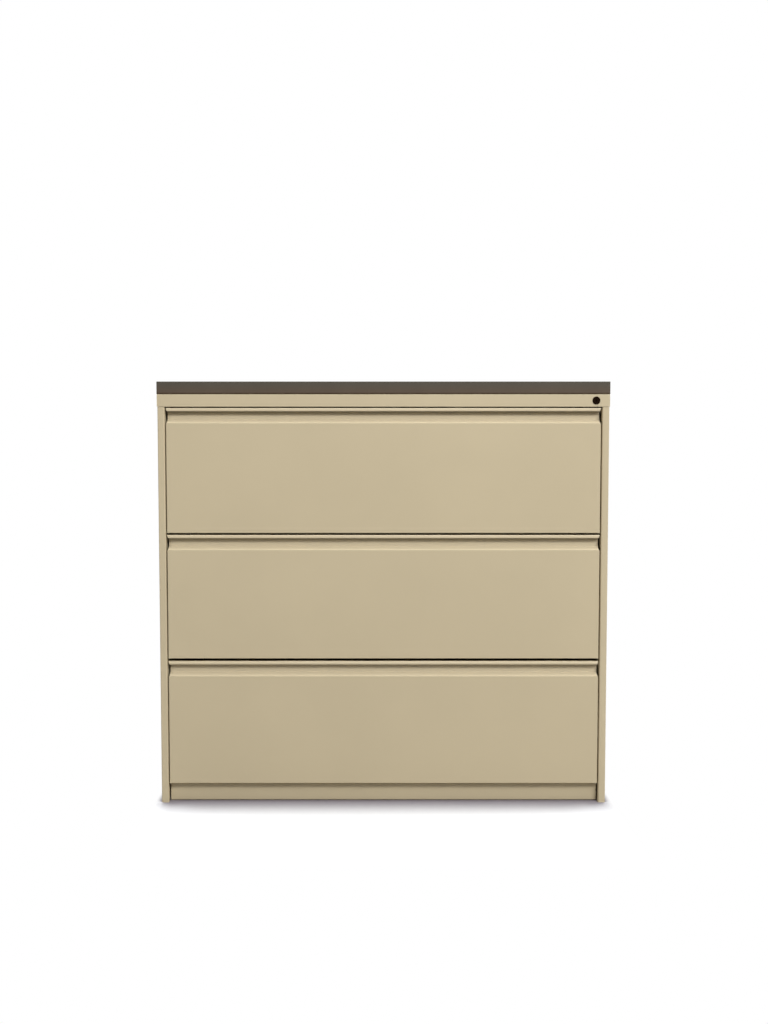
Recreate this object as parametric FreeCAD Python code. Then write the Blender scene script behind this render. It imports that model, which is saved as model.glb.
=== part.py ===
import FreeCAD, Part
import math
import os

# Three-drawer lateral filing cabinet of formed sheet steel with a laminate top.
# Millimetres. X runs across the front, the drawers open towards -Y and Z is up.
# The origin is on the floor, in the middle of the cabinet's overall width and depth.

# Case
case_width = 1066.8
case_depth = 457.2
case_sheet = 1.0
case_bend = 2.0
tight_bend = 0.5
stile_width = 17.0
stile_return = 14.0
rear_return = 20.0
base_height = 46.5
base_recess = 16.0
base_end_gap = 2.5
base_floor_gap = 0.5
base_flange = 16.0
pan_drop = 3.0
pan_edge_gap = 0.3

# Cap with the top rail, and the laminate top on it
cap_sheet = 0.8
rail_height = 29.0
rail_return = 12.0
cap_round = 1.2
stile_cap_gap = 0.8
top_thickness = 30.0
top_overhang = 0.6
top_edge_bevel = 0.8

# Drawer fronts, with the gaps above the top, middle and bottom one
front_height = 296.0
top_gap = 3.0
middle_gap = 4.5
bottom_gap = 6.7
side_reveal = 2.8
front_sheet = 1.0
front_edge_zone = 4.0
front_bend = 0.8

# Full-width finger pull folded into the top of each front
lip_height = 8.0
lip_crease = 0.3
lip_fold = 3.0
lip_tuck = 3.0
lip_mitre = 3.0
lip_round = 2.2
pull_depth = 13.0
pull_drop = 28.0
ledge_drop = 35.6
pull_end_inset = 2.0

# Drawer body
liner_sheet = 1.0
liner_top_drop = 12.0
tray_sheet = 0.9
tray_rear_gap = 39.6
tray_floor = 14.0
tray_wall = 240.0
tray_hem = 9.0
tray_bend = 2.0
bar_sheet = 1.2
bar_web = 22.0
bar_shelf = 8.0
bar_upstand = 10.0
bar_drop = 4.0
bar_end_gap = 1.0

# Three-part telescopic slides
slide_space = 13.0
slide_setback = 18.0
slide_level = 125.0
slide_bend = 1.0
outer_sheet = 1.5
outer_height = 45.0
outer_depth = 12.0
outer_lip = 5.0
middle_sheet = 1.3
middle_height = 34.0
middle_web_at = 3.0
middle_depth = 8.0
inner_sheet = 1.3
inner_height = 25.0
inner_depth = 7.5
cage_sheet = 0.6
cage_length = 150.0
cage_flange = 7.5
cage_window = 4.4
cage_window_pitch = 36.0
cage_windows = 4
outer_cage_gap = 0.5
inner_cage_gap = 0.3
inner_cage_sheet = 0.4
inner_cage_flange = 5.5

# Uprights that carry the slides
channel_sheet = 1.5
channel_width = 30.0
channel_lip = 8.0
channel_setback = 15.0
rear_channel_gap = 30.0
channel_top_gap = 1.0
hook_rows = 1
hook_pitch = 60.0
hook_slot_width = 5.0
hook_slot_height = 16.0

# Back panel and counterweight
back_sheet = 0.8
weight_length = 800.0
weight_width = 60.0
weight_height = 30.0
weight_inset = 20.0

# Levelling glides
glide_side_inset = 44.0
glide_end_inset = 56.0
glide_foot_width = 24.0
glide_foot_height = 8.0
glide_stem_radius = 5.0
glide_stem_top = 52.0
glide_slot_width = 1.6
glide_slot_depth = 3.0
weld_nut_width = 17.0
weld_nut_height = 11.0
glide_clearance = 0.1

# Lock in the top rail
lock_from_side = 31.5
lock_bezel_radius = 9.25
lock_proud = 1.5
lock_bevel = 0.5
lock_barrel_radius = 8.0
lock_barrel_length = 20.0
lock_hole_clearance = 0.25
plug_radius = 6.0
plug_clearance = 0.06
plug_recess = 0.3
plug_tail_side = 6.0
key_slot_width = 1.8
key_slot_height = 7.5
key_slot_depth = 14.0
nut_width = 21.0
nut_height = 3.0
cam_gap = 0.5
cam_sheet = 2.0
cam_throw = 8.0
cam_pin_radius = 2.0
cam_rim = 4.0
cam_start = -45.0
cam_turn = 90.0
cam_rest_gap = 1.5

# Lock bar and the drawers' strikers
bar_thickness = 2.0
bar_width = 10.0
bar_inset = 2.0
arm_height = 12.0
slot_clearance = 0.6
tab_height = 9.0
tab_reach = 10.0
striker_level = 205.0
striker_height = 20.0
striker_sheet = 2.0
striker_foot = 20.0
striker_side_gap = 2.4
unlocked_gap = 2.0
locked_gap = 1.0
bar_window_gap = 1.5

# Places worked out from the sizes
front_y = (lock_proud - case_depth) / 2
back_y = front_y + case_depth
side_x = case_width / 2
bay_x = side_x - stile_width
front_x = bay_x - side_reveal
middle_bottom = base_height + front_height + bottom_gap
top_bottom = middle_bottom + front_height + middle_gap
drawer_bottoms = (top_bottom, middle_bottom, base_height)
rail_bottom = top_bottom + front_height + top_gap
case_top = rail_bottom + rail_height
tray_x = bay_x - slide_space
lock_x = side_x - lock_from_side
lock_z = rail_bottom + rail_height / 2
pan_top = base_height - pan_drop
slide_y = front_y + slide_setback
liner_y = front_y + pull_depth + front_sheet
tray_y = liner_y + liner_sheet
shell_back = back_y - cap_sheet
back_front_y = shell_back - case_sheet - back_sheet
tray_length = back_front_y - tray_rear_gap - tray_y
slide_length = tray_length

X = FreeCAD.Vector(1, 0, 0)
Y = FreeCAD.Vector(0, 1, 0)
Z = FreeCAD.Vector(0, 0, 1)
nodes = {}


def keep(name, shape):
    """Store a finished piece under its name."""
    nodes[name] = shape


def block(x0, x1, y0, y1, z0, z1):
    """A box between two corners."""
    low = FreeCAD.Vector(min(x0, x1), min(y0, y1), min(z0, z1))
    return Part.makeBox(abs(x1 - x0), abs(y1 - y0), abs(z1 - z0), low)


def rod(radius, start, direction, length):
    """A round bar from a start point along a direction."""
    return Part.makeCylinder(radius, length, FreeCAD.Vector(*start), direction)


def mirrored(shape):
    """The left-hand twin of a right-hand piece."""
    return shape.mirror(FreeCAD.Vector(0, 0, 0), X)


def placed(a, b, along, at):
    """A profile point (a, b) in space: along X it is (Y, Z), along Y (X, Z), along Z (X, Y)."""
    if along == X:
        return FreeCAD.Vector(at, a, b)
    if along == Y:
        return FreeCAD.Vector(a, at, b)
    return FreeCAD.Vector(a, b, at)


def unit(start, end):
    """Direction from one profile point to the next."""
    length = math.hypot(end[0] - start[0], end[1] - start[1])
    return ((end[0] - start[0]) / length, (end[1] - start[1]) / length)


def bend_points(before, corner, after, radius, offset):
    """Start, middle and end of a bend's arc on a line that runs beside the sheet's middle line."""
    into = unit(before, corner)
    out = unit(corner, after)
    turn = math.atan2(into[0] * out[1] - into[1] * out[0], into[0] * out[0] + into[1] * out[1])
    side = 1 if turn > 0 else -1
    reach = radius * math.tan(abs(turn) / 2)
    start = (corner[0] - into[0] * reach, corner[1] - into[1] * reach)
    centre = (start[0] - into[1] * side * radius, start[1] + into[0] * side * radius)
    arm = radius - side * offset
    angle = math.atan2(start[1] - centre[1], start[0] - centre[0])
    angles = (angle, angle + turn / 2, angle + turn)
    return [(centre[0] + arm * math.cos(t), centre[1] + arm * math.sin(t)) for t in angles]


def folded(points, sheet, bend, along, start, length, flat_bends=False):
    """A bent sheet: the middle line through points, with bends, carried along an axis.

    bend is the inside radius of every bend, or a list with one for each inner point.
    With flat_bends, or where a bend is tight, its arc becomes one flat facet.
    """
    inner = points[1:-1]
    bends = bend if isinstance(bend, list) else [bend] * len(inner)
    sides = []
    for offset in (sheet / 2, -sheet / 2):
        normal = unit(points[0], points[1])
        first = (points[0][0] - normal[1] * offset, points[0][1] + normal[0] * offset)
        normal = unit(points[-2], points[-1])
        last = (points[-1][0] - normal[1] * offset, points[-1][1] + normal[0] * offset)
        steps = [[first]]
        for i, corner in enumerate(inner):
            step = bend_points(points[i], corner, points[i + 2], bends[i] + sheet / 2, offset)
            flat = flat_bends or bends[i] < tight_bend
            steps.append([step[0], step[-1]] if flat else step)
        steps.append([last])
        sides.append(steps)
    back = [list(reversed(step)) for step in reversed(sides[1])]
    edges = []
    previous = None
    for step in sides[0] + back:
        spots = [placed(a, b, along, start) for a, b in step]
        if previous is not None:
            edges.append(Part.LineSegment(previous, spots[0]).toShape())
        if len(spots) == 3:
            edges.append(Part.Arc(*spots).toShape())
        if len(spots) == 2:
            edges.append(Part.LineSegment(*spots).toShape())
        previous = spots[-1]
    edges.append(Part.LineSegment(previous, edges[0].Vertexes[0].Point).toShape())
    return Part.Face(Part.Wire(edges)).extrude(along * length)


def hexagon(width, centre, at, along, length):
    """A hexagonal prism, width across its flats, round a profile point and from a place along an axis."""
    corner = width / math.sqrt(3)
    points = []
    for n in range(7):
        a = centre[0] + corner * math.cos(math.pi * n / 3)
        b = centre[1] + corner * math.sin(math.pi * n / 3)
        points.append(placed(a, b, along, at))
    return Part.Face(Part.makePolygon(points)).extrude(along * length)


def rounded(shape, radius, wanted):
    """Round the edges for which wanted(low, high) is true, given the edge's own box."""
    edges = []
    for edge in shape.Edges:
        box = edge.BoundBox
        low = (box.XMin, box.YMin, box.ZMin)
        high = (box.XMax, box.YMax, box.ZMax)
        if wanted(low, high):
            edges.append(edge)
    return shape.makeFillet(radius, edges)


def near(a, b):
    """True where two places are the same."""
    return abs(a - b) < 1e-4


# Case: side panels, each one sheet folded into a stile at the front and a return at the back
side_inside = side_x - case_sheet
half_sheet = case_sheet / 2
side_outline = [
    (bay_x + half_sheet, front_y + stile_return),
    (bay_x + half_sheet, front_y + half_sheet),
    (side_x - half_sheet, front_y + half_sheet),
    (side_x - half_sheet, shell_back - half_sheet),
    (side_x - rear_return, shell_back - half_sheet),
]
side_panel = folded(side_outline, case_sheet, case_bend, Z, 0, case_top - cap_sheet)
stile_top = rail_bottom - stile_cap_gap
behind_rail = front_y + stile_return + stile_cap_gap
side_panel = side_panel.cut(block(bay_x - 1, side_x + 1, front_y - 1, behind_rail, stile_top, case_top))
keep("right_side_panel", side_panel)
keep("left_side_panel", mirrored(side_panel))

# Back panel, inside the returns of the sides
back_x = side_inside - case_bend - pan_edge_gap
back_panel = block(-back_x, back_x, back_front_y, back_front_y + back_sheet, base_floor_gap, case_top - cap_sheet)
keep("back_panel", back_panel)

# Cap: a shallow tray turned upside down, whose front flange is the top rail
cap_x = side_x + cap_sheet
cap = block(-cap_x, cap_x, front_y, back_y, rail_bottom, case_top)
cap = rounded(cap, cap_round, lambda low, high: near(low[2], high[2]) and near(high[2], case_top))
hollow = block(-side_x, side_x, front_y + cap_sheet, shell_back, rail_bottom + cap_sheet, case_top - cap_sheet)
mouth = block(-side_x, side_x, front_y + rail_return, shell_back, rail_bottom - 1, rail_bottom + cap_sheet)
lock_hole = rod(lock_barrel_radius + lock_hole_clearance, (lock_x, front_y - 1, lock_z), Y, cap_sheet + 2)
keep("top_cap", cap.cut(hollow).cut(mouth).cut(lock_hole))

# Laminate top, with its edges eased
top_x = cap_x + top_overhang
top_board = block(-top_x, top_x, front_y, back_y, case_top, case_top + top_thickness)
keep("laminate_top", top_board.makeChamfer(top_edge_bevel, top_board.Edges))

# Bottom pan with a welded nut over each glide
pan_x = side_inside - pan_edge_gap
pan_under = pan_top - case_sheet
pan_start = front_y + stile_return + pan_edge_gap
pan_end = back_front_y - pan_edge_gap
pan_outline = [
    (pan_start, pan_top - half_sheet),
    (pan_end - half_sheet, pan_top - half_sheet),
    (pan_end - half_sheet, pan_top - base_flange),
]
pan = folded(pan_outline, case_sheet, case_bend, X, -pan_x, 2 * pan_x)
glide_x = side_x - glide_side_inset
glide_front_y = front_y + glide_end_inset
glide_rear_y = back_y - glide_end_inset
glide_spots = {
    "front_left": (-glide_x, glide_front_y),
    "front_right": (glide_x, glide_front_y),
    "rear_left": (-glide_x, glide_rear_y),
    "rear_right": (glide_x, glide_rear_y),
}
for spot in glide_spots.values():
    pan = pan.fuse(hexagon(weld_nut_width, spot, pan_under - weld_nut_height, Z, weld_nut_height))
for x, y in glide_spots.values():
    pan = pan.cut(rod(glide_stem_radius + glide_clearance, (x, y, 0), Z, pan_top + 1))
keep("bottom_pan", pan.removeSplitter())

# Base rail: a channel set back under the lowest drawer
base_y = front_y + base_recess
base_x = bay_x - base_end_gap
base_outline = [
    (base_y + base_flange, base_floor_gap + half_sheet),
    (base_y + half_sheet, base_floor_gap + half_sheet),
    (base_y + half_sheet, pan_under - half_sheet),
    (base_y + base_flange, pan_under - half_sheet),
]
keep("base_rail", folded(base_outline, case_sheet, case_bend, X, -base_x, 2 * base_x))

# Counterweight under the back of the pan
weight_y = pan_end - weight_inset - weight_width
counterweight = block(
    -weight_length / 2, weight_length / 2, weight_y, weight_y + weight_width, pan_under - weight_height, pan_under
)
keep("counterweight", counterweight)

# Levelling glides
for spot, (x, y) in glide_spots.items():
    foot = hexagon(glide_foot_width, (x, y), 0, Z, glide_foot_height)
    stem = rod(glide_stem_radius, (x, y, glide_foot_height), Z, glide_stem_top - glide_foot_height)
    slot_bottom = glide_stem_top - glide_slot_depth
    slot = block(
        x - glide_stem_radius - 1, x + glide_stem_radius + 1,
        y - glide_slot_width / 2, y + glide_slot_width / 2,
        slot_bottom, glide_stem_top + 1,
    )
    keep("glide_" + spot, foot.fuse(stem).cut(slot))

# Uprights that the slides hang on
half_channel = channel_sheet / 2


def channel(y):
    """A C-shaped upright with its web towards the drawers, from y backwards."""
    wall = side_inside - half_channel
    web = bay_x + half_channel
    outline = [
        (wall, y + channel_lip),
        (wall, y + half_channel),
        (web, y + half_channel),
        (web, y + channel_width - half_channel),
        (wall, y + channel_width - half_channel),
        (wall, y + channel_width - channel_lip),
    ]
    height = rail_bottom - channel_top_gap - pan_top
    upright = folded(outline, channel_sheet, slide_bend, Z, pan_top, height, flat_bends=True)
    middle = y + channel_width / 2
    for bottom in drawer_bottoms:
        for n in range(-hook_rows, hook_rows + 1):
            z = bottom + slide_level + n * hook_pitch
            upright = upright.cut(block(
                bay_x - 1, bay_x + channel_sheet + 1, middle - hook_slot_width / 2, middle + hook_slot_width / 2,
                z - hook_slot_height / 2, z + hook_slot_height / 2,
            ))
    return upright


front_channel = channel(front_y + channel_setback)
rear_channel = channel(shell_back - rear_channel_gap - channel_width)
keep("left_front_upright", mirrored(front_channel))
keep("left_rear_upright", mirrored(rear_channel))
keep("right_rear_upright", rear_channel)

# Lock: barrel and nut in the rail, plug that turns, and the cam on its tail
barrel = rod(lock_bezel_radius, (lock_x, front_y - lock_proud, lock_z), Y, lock_proud)
bezel_edge = [e for e in barrel.Edges if near(e.BoundBox.YMax, front_y - lock_proud)]
barrel = barrel.makeChamfer(lock_bevel, bezel_edge)
barrel = barrel.fuse(rod(lock_barrel_radius, (lock_x, front_y, lock_z), Y, lock_barrel_length))
bore = rod(plug_radius + plug_clearance, (lock_x, front_y - lock_proud - 1, lock_z), Y, lock_barrel_length + 4)
keep("lock_barrel", barrel.cut(bore))

nut = hexagon(nut_width, (lock_x, lock_z), front_y + cap_sheet, Y, nut_height)
thread = rod(lock_barrel_radius + glide_clearance, (lock_x, front_y, lock_z), Y, nut_height + 2)
keep("lock_nut", nut.cut(thread))

plug_face = front_y - lock_proud + plug_recess
plug_end = front_y + lock_barrel_length
cam_y = plug_end + cam_gap
tail_end = cam_y + cam_sheet
plug = rod(plug_radius, (lock_x, plug_face, lock_z), Y, plug_end - plug_face)
tail = block(
    lock_x - plug_tail_side / 2, lock_x + plug_tail_side / 2, plug_end, tail_end,
    lock_z - plug_tail_side / 2, lock_z + plug_tail_side / 2,
)
key_slot = block(
    lock_x - key_slot_width / 2, lock_x + key_slot_width / 2, plug_face - 1, plug_face + key_slot_depth,
    lock_z - key_slot_height / 2, lock_z + key_slot_height / 2,
)
keep("lock_plug", plug.fuse(tail).cut(key_slot))

pin_x = lock_x + cam_throw * math.cos(math.radians(cam_start))
pin_z = lock_z + cam_throw * math.sin(math.radians(cam_start))
cam_lift = cam_throw * (math.sin(math.radians(cam_start + cam_turn)) - math.sin(math.radians(cam_start)))
cam = rod(lock_barrel_radius, (lock_x, cam_y, lock_z), Y, cam_sheet)
cam = cam.fuse(rod(cam_rim, (pin_x, cam_y, pin_z), Y, cam_sheet))
cam = cam.fuse(rod(cam_pin_radius, (pin_x, tail_end, pin_z), Y, cam_rest_gap + bar_thickness + locked_gap))
cam = cam.cut(tail)
keep("lock_cam", cam)

# Lock bar: one plate with an arm that the cam lifts and a tab beside each drawer
bar_y = tail_end + cam_rest_gap
bar_end = side_inside - bar_inset
bar_start = bar_end - bar_width
tab_end = bay_x - tab_reach
slot_half = cam_pin_radius + slot_clearance
slot_start = pin_x - slot_half
slot_end = lock_x + cam_throw + slot_half
arm_start = slot_start - cam_rim
tab_tops = [bottom + striker_level - unlocked_gap for bottom in drawer_bottoms]


def plate(x0, x1, z0, z1):
    """A stretch of the lock bar's plate."""
    return block(x0, x1, bar_y, bar_y + bar_thickness, z0, z1)


lock_bar = plate(bar_start, bar_end, min(tab_tops) - tab_height, pin_z + arm_height / 2)
lock_bar = lock_bar.fuse(plate(arm_start, bar_end, pin_z - arm_height / 2, pin_z + arm_height / 2))
for top in tab_tops:
    lock_bar = lock_bar.fuse(plate(tab_end, bar_end, top - tab_height, top))
lock_bar = lock_bar.cut(plate(slot_start, slot_end, pin_z - slot_half, pin_z + slot_half))
keep("lock_bar", lock_bar.removeSplitter())

right_channel = front_channel
for top in tab_tops:
    window = block(
        bay_x - 1, bay_x + channel_sheet + 1, bar_y - bar_window_gap, bar_y + bar_thickness + bar_window_gap,
        top - tab_height - bar_window_gap, top + cam_lift + bar_window_gap,
    )
    right_channel = right_channel.cut(window)
keep("right_front_upright", right_channel)

# Drawer front: one sheet folded into lip, finger pull, ledge, face and bottom return
front_half = front_sheet / 2
lip_bottom = front_height - lip_height


def front_skin(z):
    """The outer front with its bottom edge at z."""
    skin_outline = [
        (front_y + lip_fold - front_half, z + lip_bottom + lip_tuck),
        (front_y + lip_fold - front_half, z + lip_bottom + front_half),
        (front_y + front_half, z + lip_bottom + front_half),
        (front_y + front_half, z + front_height - front_half),
        (liner_y - front_half, z + front_height - front_half),
        (liner_y - front_half, z + front_height - pull_drop),
        (front_y + front_half, z + front_height - ledge_drop),
        (front_y + front_half, z + front_half),
        (liner_y, z + front_half),
    ]
    bends = [lip_crease, lip_crease, lip_round, front_bend, front_bend, front_bend, front_bend]
    skin = folded(skin_outline, front_sheet, bends, X, -front_x, 2 * front_x)
    face_top = z + front_height - ledge_drop - front_sheet
    corner = [
        (front_x - front_edge_zone, front_y + front_half),
        (front_x - front_half, front_y + front_half),
        (front_x - front_half, liner_y),
    ]
    side = folded(corner, front_sheet, front_bend, Z, z, face_top - z)
    wedge = Part.makePolygon([
        FreeCAD.Vector(front_x + 1, front_y - 1, z + lip_bottom - 1),
        FreeCAD.Vector(front_x - lip_mitre, front_y - 1, z + lip_bottom - 1),
        FreeCAD.Vector(front_x, front_y - 1, z + front_height),
        FreeCAD.Vector(front_x + 1, front_y - 1, z + front_height),
        FreeCAD.Vector(front_x + 1, front_y - 1, z + lip_bottom - 1),
    ])
    wedge = Part.Face(wedge).extrude(Y * (1 + lip_fold + front_half))
    spare = block(front_x - front_edge_zone, front_x + 1, front_y - 1, liner_y + 1, z - 1, face_top)
    notch = block(front_x - pull_end_inset, front_x + 1, front_y - 1, liner_y + 1, face_top, z + lip_bottom)
    for mirror in (False, True):
        for piece in (spare, wedge, notch):
            skin = skin.cut(mirrored(piece) if mirror else piece)
        skin = skin.fuse(mirrored(side) if mirror else side)
    return skin.removeSplitter()


def front_liner(z):
    """The inner front, which closes the back of the outer one."""
    web = liner_y + liner_sheet / 2
    outline = [
        (front_y + front_edge_zone, z + front_sheet + liner_sheet / 2),
        (web, z + front_sheet + liner_sheet / 2),
        (web, z + front_height - liner_top_drop),
    ]
    half_width = front_x - front_sheet - front_edge_zone
    return folded(outline, liner_sheet, front_bend, X, -half_width, 2 * half_width, flat_bends=True)


def tray(z):
    """The drawer's body: floor, four walls and a hem turned inwards along each side."""
    low = z + tray_floor
    high = low + tray_wall
    inside = tray_x - tray_sheet
    end_y = tray_y + tray_length
    outer = block(-tray_x, tray_x, tray_y, end_y, low, high)
    inner = block(-inside, inside, tray_y + tray_sheet, end_y - tray_sheet, low + tray_sheet, high + 1)
    outer = rounded(outer, tray_bend + tray_sheet, lambda a, b: b[2] - a[2] > tray_wall / 2)
    inner = rounded(inner, tray_bend, lambda a, b: b[2] - a[2] > tray_wall / 2)
    body = outer.cut(inner)
    for side in (1, -1):
        body = body.fuse(block(
            side * (inside - tray_hem), side * inside, tray_y + tray_bend + tray_sheet,
            end_y - tray_bend - tray_sheet, high - tray_sheet, high,
        ))
    return body.removeSplitter()


def hanging_bars(z):
    """The two bars that the folders hang on, inside the tray's front and back walls."""
    high = z + tray_floor + tray_wall - bar_drop
    half_bar = bar_sheet / 2
    length = 2 * (tray_x - tray_sheet - tray_hem - bar_end_gap)
    bars = []
    for wall, inward in ((tray_y + tray_sheet, 1), (tray_y + tray_length - tray_sheet, -1)):
        outline = [
            (wall + inward * half_bar, high - bar_web),
            (wall + inward * half_bar, high),
            (wall + inward * bar_shelf, high),
            (wall + inward * bar_shelf, high + bar_upstand),
        ]
        bars.append(folded(outline, bar_sheet, slide_bend, X, -length / 2, length, flat_bends=True))
    return Part.makeCompound(bars)


def striker(z):
    """The angle on the tray's right side that the lock bar's tab catches."""
    start = bar_y + bar_thickness + locked_gap
    low = z + striker_level
    foot = block(tray_x, tray_x + striker_sheet, start, start + striker_foot, low, low + striker_height)
    leg = block(tray_x, bay_x - striker_side_gap, start, start + striker_sheet, low, low + striker_height)
    return foot.fuse(leg).removeSplitter()


def slide_section(web, tip, height, sheet, lip, z):
    """A slide member from its web to its tips, with or without lips at the tips."""
    top = height / 2 - sheet / 2
    outline = [(tip, z + top), (web, z + top), (web, z - top), (tip, z - top)]
    if lip:
        outline.insert(0, (tip, z + height / 2 - lip))
        outline.append((tip, z - height / 2 + lip))
    return folded(outline, sheet, slide_bend, Y, slide_y, slide_length, flat_bends=True)


def outer_member(z):
    """The member fixed to the uprights."""
    half = outer_sheet / 2
    return slide_section(bay_x - half, bay_x - outer_depth + half, outer_height, outer_sheet, outer_lip, z)


def middle_member(z):
    """The member between the other two."""
    web = bay_x - middle_web_at - middle_sheet / 2
    return slide_section(web, bay_x - middle_web_at - middle_depth, middle_height, middle_sheet, 0, z)


def inner_member(z):
    """The member fixed to the tray's side."""
    return slide_section(tray_x + inner_sheet / 2, tray_x + inner_depth, inner_height, inner_sheet, 0, z)


def ball_cage(web, level, sheet, flange, z):
    """A strip that keeps the balls apart above and below, with a window for each ball."""
    start = slide_y + (slide_length - cage_length) / 2
    tip = web - flange
    outline = [(tip, z + level), (web, z + level), (web, z - level), (tip, z - level)]
    cage = folded(outline, sheet, sheet, Y, start, cage_length, flat_bends=True)
    first = start + (cage_length - (cage_windows - 1) * cage_window_pitch - cage_window) / 2
    middle = web - flange / 2 - sheet
    for n in range(cage_windows):
        y = first + n * cage_window_pitch
        cage = cage.cut(block(
            middle - cage_window / 2, middle + cage_window / 2, y, y + cage_window, z - level - 1, z + level + 1
        ))
    return cage


def outer_cage(z):
    """The cage between the cabinet member and the middle member."""
    level = (outer_height / 2 - outer_sheet + middle_height / 2) / 2
    web = bay_x - outer_sheet - outer_cage_gap - cage_sheet / 2
    return ball_cage(web, level, cage_sheet, cage_flange, z)


def inner_cage(z):
    """The cage between the middle member and the drawer member."""
    level = (middle_height / 2 - middle_sheet + inner_height / 2) / 2
    web = bay_x - middle_web_at - middle_sheet - inner_cage_gap - inner_cage_sheet / 2
    return ball_cage(web, level, inner_cage_sheet, inner_cage_flange, z)


for n, bottom in enumerate(drawer_bottoms):
    name = "drawer_%d_" % (n + 1)
    level = bottom + slide_level
    keep(name + "front", front_skin(bottom))
    keep(name + "front_liner", front_liner(bottom))
    keep(name + "tray", tray(bottom))
    keep(name + "hanging_bars", hanging_bars(bottom))
    keep(name + "striker", striker(bottom))
    for part, make in (("cabinet", outer_member), ("middle", middle_member), ("drawer", inner_member)):
        member = make(level)
        keep(name + "slide_" + part + "_right", member)
        keep(name + "slide_" + part + "_left", mirrored(member))
    for part, make in (("outer", outer_cage), ("inner", inner_cage)):
        cage = make(level)
        keep(name + part + "_ball_cages", Part.makeCompound([cage, mirrored(cage)]))

os.makedirs("parts", exist_ok=True)
for name, shape in nodes.items():
    shape.exportStep("parts/" + name + ".step")
print(len(nodes), "pieces, cam lift", round(cam_lift, 4), "mm, height", case_top + top_thickness)
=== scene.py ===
import math

import bpy
import numpy as np
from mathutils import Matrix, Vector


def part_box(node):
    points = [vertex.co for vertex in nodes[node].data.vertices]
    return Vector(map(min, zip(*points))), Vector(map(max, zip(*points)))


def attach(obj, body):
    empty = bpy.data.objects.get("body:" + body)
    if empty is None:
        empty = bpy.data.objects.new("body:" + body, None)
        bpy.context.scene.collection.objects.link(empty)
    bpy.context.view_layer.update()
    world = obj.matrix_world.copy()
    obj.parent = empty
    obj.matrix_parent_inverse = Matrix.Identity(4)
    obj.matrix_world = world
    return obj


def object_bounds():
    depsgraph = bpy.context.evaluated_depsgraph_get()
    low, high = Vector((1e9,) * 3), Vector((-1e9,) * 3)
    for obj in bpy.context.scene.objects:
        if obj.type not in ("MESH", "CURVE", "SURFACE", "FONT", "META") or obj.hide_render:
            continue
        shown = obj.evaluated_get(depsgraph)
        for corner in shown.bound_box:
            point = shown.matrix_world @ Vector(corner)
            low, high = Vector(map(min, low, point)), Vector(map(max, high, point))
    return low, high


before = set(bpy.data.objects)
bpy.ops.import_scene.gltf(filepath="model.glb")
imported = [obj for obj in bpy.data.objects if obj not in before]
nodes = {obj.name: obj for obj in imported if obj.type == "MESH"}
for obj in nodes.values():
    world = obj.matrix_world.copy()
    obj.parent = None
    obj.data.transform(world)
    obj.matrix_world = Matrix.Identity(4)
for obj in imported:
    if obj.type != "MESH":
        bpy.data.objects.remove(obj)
cad_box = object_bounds()
drawers = (1, 2, 3)

# Camera
# It stands in front of the cabinet, a little lower than its top, looks slightly down and sees the
# three drawers face on. The lens is worked out for a picture 1024 pixels high.
picture_height = 1024
sight_pixels = 1019.6
camera_height = 0.8304
camera_distance = 2.4132
camera_aside = 0.0014
camera_down = math.radians(3.094)
front_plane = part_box("top_cap")[0].y

camera = bpy.data.objects.new("camera", bpy.data.cameras.new("camera"))
camera.data.sensor_width = 36.0
camera.data.lens = sight_pixels * camera.data.sensor_width / picture_height
camera.location = (camera_aside, front_plane - camera_distance, camera_height)
camera.rotation_euler = (math.pi / 2 - camera_down, 0, 0)
bpy.context.scene.collection.objects.link(camera)
bpy.context.scene.camera = camera
bpy.context.scene.view_settings.view_transform = "Standard"


# Studio: floor, surround and soft light
# A floor that looks white but for a painted shadow along the cabinet's foot, a white surround, and five
# softboxes: a wide main one high in front and a little to the right, one overhead, one behind and one
# at each side. The floor is white to the eye only: it throws back no more light than a grey one.
class Value:
    """A number or colour that varies over a surface, with Python's arithmetic for the numbers."""

    def __init__(self, finish, socket):
        self.finish = finish
        self.socket = socket

    def math(self, operation, *values):
        return self.finish.node("ShaderNodeMath", {"operation": operation}, dict(enumerate(values)))

    def __add__(self, other):
        return self.math("ADD", self, other)

    def __radd__(self, other):
        return self.math("ADD", other, self)

    def __sub__(self, other):
        return self.math("SUBTRACT", self, other)

    def __rsub__(self, other):
        return self.math("SUBTRACT", other, self)

    def __mul__(self, other):
        return self.math("MULTIPLY", self, other)

    def __rmul__(self, other):
        return self.math("MULTIPLY", other, self)

    def __pow__(self, other):
        return self.math("POWER", self, other)

    def __abs__(self):
        return self.math("ABSOLUTE", self)

    def or_more(self, other):
        """Whichever is more."""
        return self.math("MAXIMUM", self, other)

    def from_nearest(self, first, pitch):
        """Distance to the nearest of the places first, first + pitch, first + 2 pitch and so on."""
        return self.math("PINGPONG", self - first, pitch / 2)

    def ridges(self, pitch):
        """Ridges that stand pitch apart: 0 in each groove and 1 on each crest."""
        return self.from_nearest(0.0, pitch) * (2 / pitch)

    def from_any(self, places):
        """Distance to the nearest of some places."""
        nearest = abs(self - places[0])
        for place in places[1:]:
            nearest = self.math("MINIMUM", nearest, abs(self - place))
        return nearest

    def rise(self, low, high):
        """0 up to low and 1 from high on, with a smooth rise between them; low may be the larger."""
        settings = {"interpolation_type": "SMOOTHSTEP"}
        sockets = {"Value": self, "From Min": low, "From Max": high}
        return self.finish.node("ShaderNodeMapRange", settings, sockets)


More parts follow.
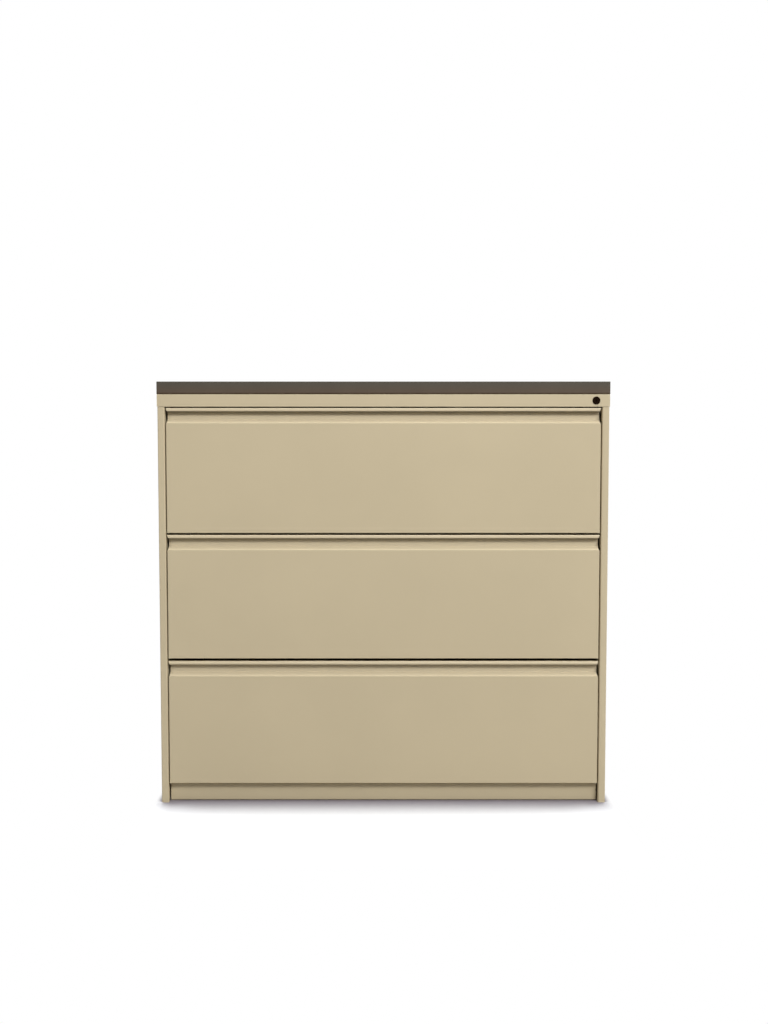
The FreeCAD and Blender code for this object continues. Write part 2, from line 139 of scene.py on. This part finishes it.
class Finish:
    """The nodes of a material or of the surround, added one by one with node()."""

    def __init__(self, owner):
        owner.use_nodes = True
        self.owner = owner
        self.tree = owner.node_tree
        self.tree.nodes.clear()

    def node(self, kind, settings=None, sockets=None, output=0):
        """Adds a node of a type: its settings first, then the values or links of its sockets."""
        made = self.tree.nodes.new(kind)
        for setting, value in (settings or {}).items():
            setattr(made, setting, value)
        for socket, value in (sockets or {}).items():
            if isinstance(value, Value):
                self.tree.links.new(value.socket, made.inputs[socket])
            else:
                made.inputs[socket].default_value = value
        return Value(self, made.outputs[output]) if made.outputs else self.owner

    def place(self):
        """The place on the object in metres: the point, and its three numbers."""
        point = self.node("ShaderNodeTexCoord", output="Object")
        x = self.node("ShaderNodeSeparateXYZ", None, {0: point})
        y, z = (Value(self, x.socket.node.outputs[axis]) for axis in "YZ")
        return point, x, y, z

    def in_view(self):
        """1 where a ray comes from the camera, also by way of metal or glass, and 0 elsewhere."""
        camera_ray = self.node("ShaderNodeLightPath", output="Is Camera Ray")
        outputs = camera_ray.socket.node.outputs
        glossy_ray = Value(self, outputs["Is Glossy Ray"])
        return camera_ray + glossy_ray + Value(self, outputs["Is Transmission Ray"])

    def noise(self, point, scale, detail=2.0, stretch=(1, 1, 1)):
        """Noise from 0 to 1 with about scale blobs to the metre; a stretch below 1 draws it out."""
        drawn = self.node("ShaderNodeMapping", None, {"Vector": point, "Scale": stretch})
        sockets = {"Vector": drawn, "Scale": scale, "Detail": detail}
        return self.node("ShaderNodeTexNoise", None, sockets)

    def blend(self, amount, first, second):
        """The first colour where amount is 0 and the second where it is 1."""
        return self.node("ShaderNodeMix", {"data_type": "RGBA"}, {0: amount, 6: first, 7: second}, 2)

    def relief(self, height, depth, under=None):
        """A surface that stands depth metres higher where height is 1 than where it is 0."""
        below = {} if under is None else {"Normal": under}
        return self.node("ShaderNodeBump", None, {"Height": height, "Distance": depth, **below})

    def skin(self, **sockets):
        """Closes a material with one Principled shader; underscores stand for a socket's spaces."""
        named = {socket.replace("_", " "): value for socket, value in sockets.items()}
        shader = self.node("ShaderNodeBsdfPrincipled", None, named)
        return self.node("ShaderNodeOutputMaterial", None, {"Surface": shader})


def linear(red, green, blue):
    """A colour given as 0 to 255 on a screen, as the linear light that a shader takes."""
    shares = np.array([red, green, blue]) / 255
    light = np.where(shares <= 0.04045, shares / 12.92, ((shares + 0.055) / 1.055) ** 2.4)
    return (*light.tolist(), 1.0)


floor_reach = 14.0
shadow_reach = 0.145
shadow_core = 0.42
corner_lift = 0.14
corner_width = 0.06
side_fade = 0.017
back_fade = 0.03
front_fade_start = 0.06
front_fade_end = 0.4
corner_fade = 0.01
deep_shade = (0.245, 0.225, 0.255, 1)
open_shade = (0.92, 0.946, 0.985, 1)
floor_grey = (0.35, 0.34, 0.33, 1)
soft_white = (1, 0.9, 0.76, 1)
soft_strength = 0.055
floor = bpy.data.objects.new("floor", bpy.data.meshes.new("floor"))
corners = [(x * floor_reach, y * floor_reach, 0) for x, y in ((-1, -1), (1, -1), (1, 1), (-1, 1))]
floor.data.from_pydata(corners, [], [(0, 1, 2, 3)])
bpy.context.scene.collection.objects.link(floor)
pale = Finish(bpy.data.materials.new("pale_floor"))
point, x, y, z = pale.place()
beside = (abs(x) - cad_box[1].x).rise(0.0, side_fade)
in_front = y.rise(front_plane + corner_fade, front_plane - corner_fade)
corner = abs(x).rise(cad_box[1].x - corner_width, cad_box[1].x) * in_front
behind = y.rise(cad_box[1].y, cad_box[1].y + back_fade)
before = y.rise(cad_box[0].y - front_fade_start, cad_box[0].y - front_fade_end)
# Painted shadow: the floor's own colour darkens where ambient occlusion finds the cabinet near, and
# more so at its front corners.
open_air = pale.node("ShaderNodeAmbientOcclusion", {"samples": 16}, {"Distance": shadow_reach}, "AO")
lit = open_air.rise(shadow_core + corner_lift * corner, 1.0)
shade = pale.blend(lit, deep_shade, open_shade)
near_white = pale.node("ShaderNodeBsdfDiffuse", None, {"Color": shade})
far_white = pale.node("ShaderNodeEmission", None, {"Color": (1, 1, 1, 1), "Strength": 1.0})
away = beside.or_more(behind).or_more(before)
whole = pale.node("ShaderNodeMixShader", None, {0: away, 1: near_white, 2: far_white})
grey = pale.node("ShaderNodeBsdfDiffuse", None, {"Color": floor_grey})
mixed = pale.node("ShaderNodeMixShader", None, {0: pale.in_view(), 1: grey, 2: whole})
floor.data.materials.append(pale.node("ShaderNodeOutputMaterial", None, {"Surface": mixed}))

bpy.context.scene.world = bpy.data.worlds.new("surround")
air = Finish(bpy.context.scene.world)
light = air.node("ShaderNodeBackground", None, {"Color": soft_white, "Strength": soft_strength})
white = air.node("ShaderNodeBackground", None, {"Color": (1, 1, 1, 1), "Strength": 1.0})
mixed = air.node("ShaderNodeMixShader", None, {0: air.in_view(), 1: light, 2: white})
air.node("ShaderNodeOutputWorld", None, {"Surface": mixed})


def softbox(name, place, target, size, watts):
    """A wide lamp at a place, turned towards a target."""
    lamp = bpy.data.lights.new(name, "AREA")
    lamp.shape = "RECTANGLE"
    lamp.size, lamp.size_y = size
    lamp.energy = watts
    box = bpy.data.objects.new(name, lamp)
    box.location = place
    box.rotation_euler = (Vector(place) - Vector(target)).to_track_quat("Z", "Y").to_euler()
    bpy.context.scene.collection.objects.link(box)


softbox("main_light", (2.5, -5.2, 5.2), (0.0, -0.2, 0.7), (5.0, 1.8), 437)
softbox("top_light", (0.0, -0.6, 6.0), (0.0, -0.2, 1.0), (4.0, 3.2), 254)
softbox("back_light", (-1.2, 4.4, 3.0), (0.0, 0.2, 0.6), (3.0, 2.0), 170)
for side in (-1, 1):
    softbox("side_light", (side * 4.4, 1.6, 2.4), (side * 0.5, 0.0, 0.5), (2.4, 2.0), 60)

# Case: sides with their stiles, back, cap with the top rail, base rail and bottom pan
# Mild steel sheet, folded and spot-welded into one shell, then powder coated beige. The coat is
# satin with the pebbled skin of baked powder, and the welds show through it as shallow dents.
beige = linear(204, 190, 159)
# Painted light and painted shade for the drawer fronts: a lighter beige and its share, then a dark
# beige.
painted_light_beige = linear(228, 215, 187)
painted_light_share = 0.35
painted_shade_beige = linear(120, 106, 78)
cloud_scale = 3.5
grain_scale = 900.0
pebble_scale = 420.0
pebble_depth = 0.00007
weld_pitch = 0.09
weld_radius = 0.0028
weld_depth = 0.0003
side_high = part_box("right_side_panel")[1]
back_weld_x = side_high.x - 0.011
back_weld_first = 0.05
cap_weld_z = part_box("top_cap")[1].z - 0.0145
back_zone = side_high.y - 0.0015
flange_zone = side_high.x + 0.0004
zone_fade = 0.0002


def dress(finish, *names):
    """Gives CAD nodes their finish."""
    for name in names:
        nodes[name].material_slots[0].material = finish


def dent(across, along):
    """A round weld mark: 1 in its middle, fading out round its rim."""
    return ((across * across + along * along) ** 0.5).rise(1.5 * weld_radius, 0.8 * weld_radius)


def powder_coat(name, colour, light_and_wear=None, marks=None, painted_shade=None):
    """Baked powder paint, satin and slightly clouded.

    Three optional masks of x, y and z: the first is where light is painted into it and hands have
    made it glossier, the second where it is dented and the third where shade is painted into it.
    """
    paint = Finish(bpy.data.materials.new(name))
    point, x, y, z = paint.place()
    cloud = paint.noise(point, cloud_scale, 3.0).rise(0.3, 0.7)
    grain = paint.noise(point, grain_scale)
    darker = (*(0.97 * share for share in colour[:3]), 1)
    lighter = (*(1.015 * share for share in colour[:3]), 1)
    tone = paint.blend(0.8 * cloud + 0.2 * grain, darker, lighter)
    # Painted shade: the tone darkens towards a dark beige where the third mask says.
    if painted_shade is not None:
        tone = paint.blend(painted_shade(x, y, z), tone, painted_shade_beige)
    pebbles = paint.relief(paint.noise(point, pebble_scale, 1.0), pebble_depth)
    roughness = 0.4 + 0.12 * grain
    # Painted light: the tone lightens towards a paler beige where the first mask says; the lower
    # roughness there is wear.
    if light_and_wear is not None:
        lit_and_worn = light_and_wear(x, y, z)
        tone = paint.blend(painted_light_share * lit_and_worn, tone, painted_light_beige)
        roughness = roughness - 0.1 * lit_and_worn
    if marks is not None:
        pebbles = paint.relief(marks(x, y, z), -weld_depth, pebbles)
    return paint.skin(Base_Color=tone, Roughness=roughness, Normal=pebbles, Specular_IOR_Level=0.3)


def shell_welds(x, y, z):
    """Welds down both returns of the back, and along the cap's flanges over the sides."""
    on_back = y.rise(back_zone - zone_fade, back_zone)
    on_flange = abs(x).rise(flange_zone - zone_fade, flange_zone)
    back = dent(abs(x) - back_weld_x, z.from_nearest(back_weld_first, weld_pitch)) * on_back
    cap = dent(z - cap_weld_z, y.from_nearest(0.0, weld_pitch)) * on_flange
    return back + cap


case_paint = powder_coat("case_paint", beige, marks=shell_welds)
dress(case_paint, "right_side_panel", "left_side_panel", "back_panel")
dress(case_paint, "top_cap", "base_rail", "bottom_pan")

# Laminate top
# Particle board under dark grey-brown high-pressure laminate, edged with a band of the same colour,
# browner towards its foot and with painted shade along its lower edge. A hairline shows where the band
# meets the sheet.
band_thickness = 0.0011
hairline = 0.00012
shaded_edge_height = 0.0048
shaded_edge_fade = 0.003
fleck_scale = 1300.0
fleck_depth = 0.00005
joint_depth = 0.0001
blotch_scale = 9.0
top_low, top_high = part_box("laminate_top")

laminate = Finish(bpy.data.materials.new("dark_laminate"))
point, x, y, z = laminate.place()
fleck = laminate.noise(point, fleck_scale, 1.0)
blotch = laminate.noise(point, blotch_scale, 3.0).rise(0.3, 0.7)
height = z.rise(top_low.z, top_high.z)
dark = laminate.blend(height, linear(83, 70, 58), linear(77, 72, 63))
pale_dark = laminate.blend(height, linear(94, 81, 68), linear(88, 83, 74))
tone = laminate.blend(0.6 * fleck + 0.4 * blotch, dark, pale_dark)
# Painted shade: the band darkens over its lowest few millimetres, where its lower edge faces down.
lower_edge_shade = z.rise(top_low.z + shaded_edge_height, top_low.z + shaded_edge_height - shaded_edge_fade)
tone = laminate.blend(lower_edge_shade, tone, linear(62, 48, 30))
side_joint = abs(abs(x) - (top_high.x - band_thickness)).rise(2 * hairline, hairline)
front_joint = abs(abs(y) - (top_high.y - band_thickness)).rise(2 * hairline, hairline)
joint = side_joint.or_more(front_joint) * z.rise(top_high.z - 0.0003, top_high.z - 0.0001)
tone = laminate.blend(joint, tone, linear(40, 35, 30))
texture = laminate.relief(joint, -joint_depth, laminate.relief(fleck, fleck_depth))
gloss = {"Roughness": 0.48 + 0.12 * fleck, "Specular_IOR_Level": 0.2}
dress(laminate.skin(Base_Color=tone, Normal=texture, **gloss), "laminate_top")

# Screws that hold the laminate top
# Six hexagon screws with a washer face, in two rows of three, driven up through the cap from inside.
# They are bright zinc plated, as are the slides, bars and glides, on which rolling or drawing leaves
# fine lines under the plate.
line_scale = 700.0
line_depth = 0.00003
bloom_scale = 28.0
thread_depth = 0.0006
even = (1, 1, 1)


def zinc_plate(name, lines, screw_thread=None):
    """Plated steel with rolling lines drawn out along one axis, and a thread where one is cut."""
    plate = Finish(bpy.data.materials.new(name))
    point, x, y, z = plate.place()
    rolled = plate.noise(point, line_scale, 3.0, lines)
    bloom = plate.noise(point, bloom_scale, 3.0).rise(0.3, 0.7)
    tone = plate.blend(bloom, linear(184, 186, 189), linear(203, 205, 207))
    shape = plate.relief(rolled, line_depth)
    if screw_thread is not None:
        shape = plate.relief(screw_thread(x, y, z), thread_depth, shape)
    return plate.skin(Base_Color=tone, Metallic=1.0, Roughness=0.26 + 0.2 * rolled, Normal=shape)


def turned(profile, places, axis, sides):
    """A profile turned round an axis at each of some places.

    A row (r, h) of the profile becomes the ring place + h axis + r (u cos t + v sin t), where u and v
    are at right angles to the axis and t goes round in equal steps. One face closes each end.
    """
    axis = np.array(axis, float)
    u = np.cross(axis, (0, 0, 1) if abs(axis[2]) < 0.9 else (1, 0, 0))
    v = np.cross(axis, u)
    t = 2 * np.pi * np.arange(sides) / sides
    r, h = np.array(profile, float).T
    rim = np.cos(t)[:, None] * u + np.sin(t)[:, None] * v
    shape = h[:, None, None] * axis + r[:, None, None] * rim
    points = (np.array(places, float)[:, None, None, :] + shape).reshape(-1, 3)
    ring = np.arange(sides)
    start = sides * np.arange(len(r) - 1)[:, None]
    walls = np.stack([start + ring, start + (ring + 1) % sides], -1)
    walls = np.concatenate([walls, walls[..., ::-1] + sides], -1).reshape(-1, 4)
    faces = []
    for first in sides * len(r) * np.arange(len(places)):
        faces += (walls + first).tolist()
        faces += [(ring[::-1] + first).tolist(), (ring + first + sides * (len(r) - 1)).tolist()]
    return points, faces


def piece(name, body, slot, finish, *shapes):
    """Joins shapes of (points, faces) into one mesh that rides on a body."""
    points, faces = [], []
    for more_points, more_faces in shapes:
        first = sum(map(len, points))
        faces += [[corner + first for corner in face] for face in more_faces]
        points.append(more_points)
    mesh = bpy.data.meshes.new(name)
    mesh.from_pydata(np.concatenate(points).tolist(), [], faces)
    mesh.materials.append(finish)
    mesh.shade_smooth()
    mesh.set_sharp_from_angle(angle=math.radians(40))
    made = bpy.data.objects.new(name, mesh)
    bpy.context.scene.collection.objects.link(made)
    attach(made, body)


fastener_zinc = zinc_plate("fastener_zinc", even)
washer_face = [(0.0052, 0), (0.0055, 0.0002), (0.0055, 0.0006), (0.005, 0.0008)]
hexagon_head = [(0.0040, 0.0007), (0.0040, 0.0031), (0.0036, 0.0035)]


def hexagon_screws(places, axis):
    """Heads of washer-faced hexagon screws, standing on their places along an axis."""
    return turned(washer_face, places, axis, 20), turned(hexagon_head, places, axis, 6)


cap_sheet = 0.0008
screw_x = (-0.43, 0, 0.43)
screw_y = (-0.16, 0.16)
top_screws = [(x, y, top_low.z - cap_sheet) for x in screw_x for y in screw_y]
piece("laminate_screws", "case", "zinc_steel", fastener_zinc, *hexagon_screws(top_screws, (0, 0, -1)))

# Drawer fronts and the liners behind them
# One sheet folded into lip, finger pull, ledge, face and returns, in the case's beige. Painted light
# lightens the lips and the backs of the pulls, which hands also rub glossier, and painted shade darkens
# the pulls under the lips and in their corners. The liner closes the back.
# Where painted shade and painted light lie on the fronts: under and on the lips, in the pulls' corners,
# and on the backs of the pulls.
half_lip = 0.004
lip_half_length = 0.42
busy_half_length = 0.1
pull_half_height = 0.01
painted_light_half_height = 0.007
shade_height = 0.008
shaded_corner = 0.012
painted_shade_share = 0.72
lips = [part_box("drawer_%d_front" % n)[1].z - half_lip for n in drawers]
pull_tops = [lip - half_lip for lip in lips]
pull_middles = [top - 0.011 for top in pull_tops]
pull_backs = [top - 0.018 for top in pull_tops]
pull_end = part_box("drawer_1_front")[1].x - 0.002


def in_pull(y):
    """1 in the pull's depth and 0 on the face."""
    return y.rise(front_plane + 0.001, front_plane + 0.006)


def painted_light_and_wear(x, y, z):
    """Painted light on the lips, most in the middle of their length, and on the backs of the pulls,
    with wear where fingers rub them glossier.
    """
    outside = y.rise(front_plane + 0.004, front_plane + 0.002)
    busy = abs(x).rise(lip_half_length, busy_half_length)
    lip = z.from_any(lips).rise(half_lip + 0.002, half_lip) * outside * (0.7 + 0.3 * busy)
    back = z.from_any(pull_backs).rise(painted_light_half_height + 0.006, painted_light_half_height)
    return lip.or_more(back * in_pull(y) * abs(x).rise(pull_end + 0.001, pull_end))


def pull_painted_shade(x, y, z):
    """Painted shade deep in the pull: right under the lip, and less of it in the two corners."""
    under_lip = z.from_any(pull_tops).rise(shade_height, 0.0)
    in_height = z.from_any(pull_middles).rise(pull_half_height + 0.004, pull_half_height)
    corner = abs(x).rise(pull_end - shaded_corner, pull_end) * in_height
    return painted_shade_share * in_pull(y) * under_lip.or_more(0.6 * corner)


front_paint = powder_coat("front_paint", beige, light_and_wear=painted_light_and_wear, painted_shade=pull_painted_shade)
liner_paint = powder_coat("liner_paint", beige)
for n in drawers:
    dress(front_paint, "drawer_%d_front" % n)
    dress(liner_paint, "drawer_%d_front_liner" % n)

# Drawer bodies
# Each is a steel tray, coated like the case, with beads pressed along its floor to stiffen it.
# Screws through its front wall hold the liner, and blind rivets hold the slides.
tray_wall = 0.0009
bead_pitch = 0.075
bead_half_width = 0.0065
bead_half_length = 0.445
bead_height = 0.0018
bead_sink = 0.0003
bead_tip = 0.05
rivet_places = (-0.16, 0, 0.16)
liner_screw_x = (-0.43, -0.15, 0.15, 0.43)
liner_screw_z = (0.05, 0.18)
along_x = (0.02, 1, 1)
bar_zinc = zinc_plate("bar_zinc", along_x)


def bead(middle, floor):
    """A stiffening bead along X on the floor, as a closed shell.

    Across it a point at v, from -1 to 1, stands bead_height (1 - v v)^2 high, times e (2 - e), where e
    goes from bead_tip at each end to 1 about a bead's width from it. The width follows the root of
    e (2 - e), and the under side is flat, just inside the floor.
    """
    v = np.linspace(-1, 1, 9)
    e = np.linspace(bead_tip, 1, 7)
    x = bead_half_length - 2 * bead_half_width * e
    x = np.concatenate([-x, x[::-1]])
    e = np.concatenate([e, e[::-1]])
    rise = bead_height * np.outer(e * (2 - e), (1 - v * v) ** 2)
    across = middle + bead_half_width * np.outer(np.sqrt(e * (2 - e)), v)
    along = np.outer(x, np.ones(len(v)))
    top = np.stack([along, across, floor + rise], -1)
    under = np.stack([along, across, np.full(rise.shape, floor - bead_sink)], -1)
    points = np.concatenate([top.reshape(-1, 3), under.reshape(-1, 3)])
    number = np.arange(rise.size).reshape(rise.shape)
    skin = np.stack([number[:-1, :-1], number[1:, :-1], number[1:, 1:], number[:-1, 1:]], -1)
    skin = skin.reshape(-1, 4)
    rim = np.concatenate([number[0, :-1], number[:-1, -1], number[-1, :0:-1], number[:0:-1, 0]])
    wall = np.stack([rim, np.roll(rim, -1), np.roll(rim, -1) + rise.size, rim + rise.size], -1)
    return points, np.concatenate([skin, skin[:, ::-1] + rise.size, wall]).tolist()


tray_paint = powder_coat("tray_paint", linear(198, 185, 152))
rivet_head = [
    (0.0031, 0), (0.0032, 0.0003), (0.0027, 0.0009), (0.0018, 0.0013), (0.0012, 0.0014), (0.001, 0.0008)
]
rivet_tail = [(0.0026, 0), (0.0026, 0.0004), (0.0021, 0.0007)]
slide_web = 0.0013
for n in drawers:
    drawer = "drawer_%d" % n
    dress(tray_paint, drawer + "_tray")
    dress(bar_zinc, drawer + "_hanging_bars", drawer + "_striker")
    low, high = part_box(drawer + "_tray")
    level = sum(corner.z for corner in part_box(drawer + "_slide_drawer_right")) / 2
    middle = (low.y + high.y) / 2
    beads = [bead(middle + row * bead_pitch, low.z + tray_wall) for row in (-2, -1, 0, 1, 2)]
    piece(drawer + "_floor_beads", drawer, "inner_steel", tray_paint, *beads)
    shapes = []
    for side in (-1, 1):
        places = [(side * (high.x - tray_wall), middle + along, level) for along in rivet_places]
        shapes.append(turned(rivet_head, places, (-side, 0, 0), 18))
        places = [(side * (high.x + slide_web), middle + along, level) for along in rivet_places]
        shapes.append(turned(rivet_tail, places, (side, 0, 0), 18))
    piece(drawer + "_rivets", drawer, "zinc_steel", fastener_zinc, *shapes)
    places = [(x, low.y + tray_wall, low.z + z) for x in liner_screw_x for z in liner_screw_z]
    screws = hexagon_screws(places, (0, 1, 0))
    piece(drawer + "_front_screws", drawer, "zinc_steel", fastener_zinc, *screws)

# Slides
# Three zinc-plated members a side run in each other on steel balls, which thin cages keep apart. The
# cabinet member is riveted to the uprights, with heads low enough for the cage to pass.
along_y = (1, 0.02, 1)
film_scale = 900.0
slide_zinc = zinc_plate("slide_zinc", along_y)
ball_steel = Finish(bpy.data.materials.new("ball_steel"))
point, x, y, z = ball_steel.place()
film = ball_steel.noise(point, film_scale)
tone = ball_steel.blend(film, linear(190, 191, 193), linear(222, 223, 224))
bright = ball_steel.skin(Base_Color=tone, Metallic=1.0, Roughness=0.1 + 0.1 * film)
window_pitch = 0.036
windows = (-1.5, -0.5, 0.5, 1.5)
outer_ball = 0.00195
outer_ball_inset = 0.00465
outer_ball_rise = 0.019
inner_ball = 0.00155
inner_ball_inset = 0.00335
inner_ball_rise = 0.0141
cabinet_web = 0.0015
rivet_from_end = 0.01
low_rivet = [(0.0031, 0), (0.0031, 0.0002), (0.0026, 0.00032)]


def balls(radius, across, up, middle, level):
    """Balls in the windows of both sides' cages: rings of radius r cos a at height r sin a."""
    places = [
        (side * across, middle + window * window_pitch, level + turn * up)
        for side in (-1, 1) for turn in (-1, 1) for window in windows
    ]
    rise = np.radians((-80, -48, -16, 16, 48, 80))
    return turned(np.stack([radius * np.cos(rise), radius * np.sin(rise)], -1), places, (0, 0, 1), 12)


for n in drawers:
    drawer = "drawer_%d" % n
    for member in ("cabinet", "middle", "drawer"):
        dress(slide_zinc, drawer + "_slide_" + member + "_right", drawer + "_slide_" + member + "_left")
    dress(slide_zinc, drawer + "_outer_ball_cages", drawer + "_inner_ball_cages")
    low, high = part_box(drawer + "_slide_cabinet_right")
    level = (low.z + high.z) / 2
    low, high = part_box(drawer + "_outer_ball_cages")
    middle = (low.y + high.y) / 2
    outer = balls(outer_ball, high.x - outer_ball_inset, outer_ball_rise, middle, level)
    piece(drawer + "_outer_balls", drawer + "_outer_cages", "zinc_steel", bright, outer)
    low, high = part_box(drawer + "_inner_ball_cages")
    inner = balls(inner_ball, high.x - inner_ball_inset, inner_ball_rise, middle, level)
    piece(drawer + "_inner_balls", drawer + "_inner_cages", "zinc_steel", bright, inner)

shapes = []
for n in drawers:
    low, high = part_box("drawer_%d_slide_cabinet_right" % n)
    for side in (-1, 1):
        for upright in ("right_front_upright", "right_rear_upright"):
            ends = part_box(upright)
            y = max((ends[0].y + ends[1].y) / 2, low.y + rivet_from_end)
            y = min(y, high.y - rivet_from_end)
            place = (side * (high.x - cabinet_web), y, (low.z + high.z) / 2)
            shapes.append(turned(low_rivet, [place], (-side, 0, 0), 18))
piece("slide_rivets", "case", "zinc_steel", fastener_zinc, *shapes)

# Uprights
# Four folded channels between the pan and the cap, coated like the trays, with a slot at each height
# where a slide may hook in.
dress(tray_paint, "left_front_upright", "left_rear_upright")
dress(tray_paint, "right_front_upright", "right_rear_upright")

# Lock in the top rail
# A black enamelled barrel with a bezel, and a plug with a key slot. Fine rings from the lathe show on
# its face, and a thread runs down the barrel behind the rail. The nut that holds it, the cam on the
# plug and the bar that the cam lifts are zinc plated.
lock_low, lock_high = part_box("lock_barrel")
lock_x = (lock_low.x + lock_high.x) / 2
lock_z = (lock_low.z + lock_high.z) / 2
ring_pitch = 0.0005
ring_depth = 0.00004
barrel_pitch = 0.001
barrel_depth = 0.0004
speck_scale = 1200.0
along_z = (1, 1, 0.02)

enamel = Finish(bpy.data.materials.new("black_enamel"))
point, x, y, z = enamel.place()
speck = enamel.noise(point, speck_scale)
across, up = x - lock_x, z - lock_z
radius = (across * across + up * up) ** 0.5
rings = radius.ridges(ring_pitch) * y.rise(front_plane + 0.0005, front_plane)
thread = y.ridges(barrel_pitch) * y.rise(front_plane + 0.001, front_plane + 0.0015)
tone = enamel.blend(speck, linear(22, 12, 5), linear(33, 20, 10))
shape = enamel.relief(thread, barrel_depth, enamel.relief(rings, ring_depth))
gloss = {"Roughness": 0.42 + 0.15 * speck, "Specular_IOR_Level": 0.02}
dress(enamel.skin(Base_Color=tone, Normal=shape, **gloss), "lock_barrel", "lock_plug")
dress(zinc_plate("lock_zinc", along_z), "lock_nut", "lock_cam", "lock_bar")

# Counterweight
# A flat cast bar fixed under the back of the pan, which keeps the cabinet from tipping when a drawer
# is out. It has the rough skin of the mould under thin black paint.
pit_scale = 240.0
pit_depth = 0.0005

cast = Finish(bpy.data.materials.new("cast_iron"))
point, x, y, z = cast.place()
pits = cast.noise(point, pit_scale, 5.0)
tone = cast.blend(pits, linear(44, 43, 42), linear(74, 72, 70))
texture = cast.relief(pits, pit_depth)
dress(cast.skin(Base_Color=tone, Roughness=0.65 + 0.2 * pits, Normal=texture), "counterweight")

# Levelling glides
# Zinc-plated hexagon feet on threaded stems, which screw through the nuts welded to the pan and are
# turned from above with a screwdriver.
stem_bottom = 0.008
stem_pitch = 0.0015


def stem_thread(x, y, z):
    """Ridges round the stem, above the foot."""
    return z.ridges(stem_pitch) * z.rise(stem_bottom, stem_bottom + 0.0005)


glide_zinc = zinc_plate("glide_zinc", even, stem_thread)
dress(glide_zinc, "glide_front_left", "glide_front_right")
dress(glide_zinc, "glide_rear_left", "glide_rear_right")
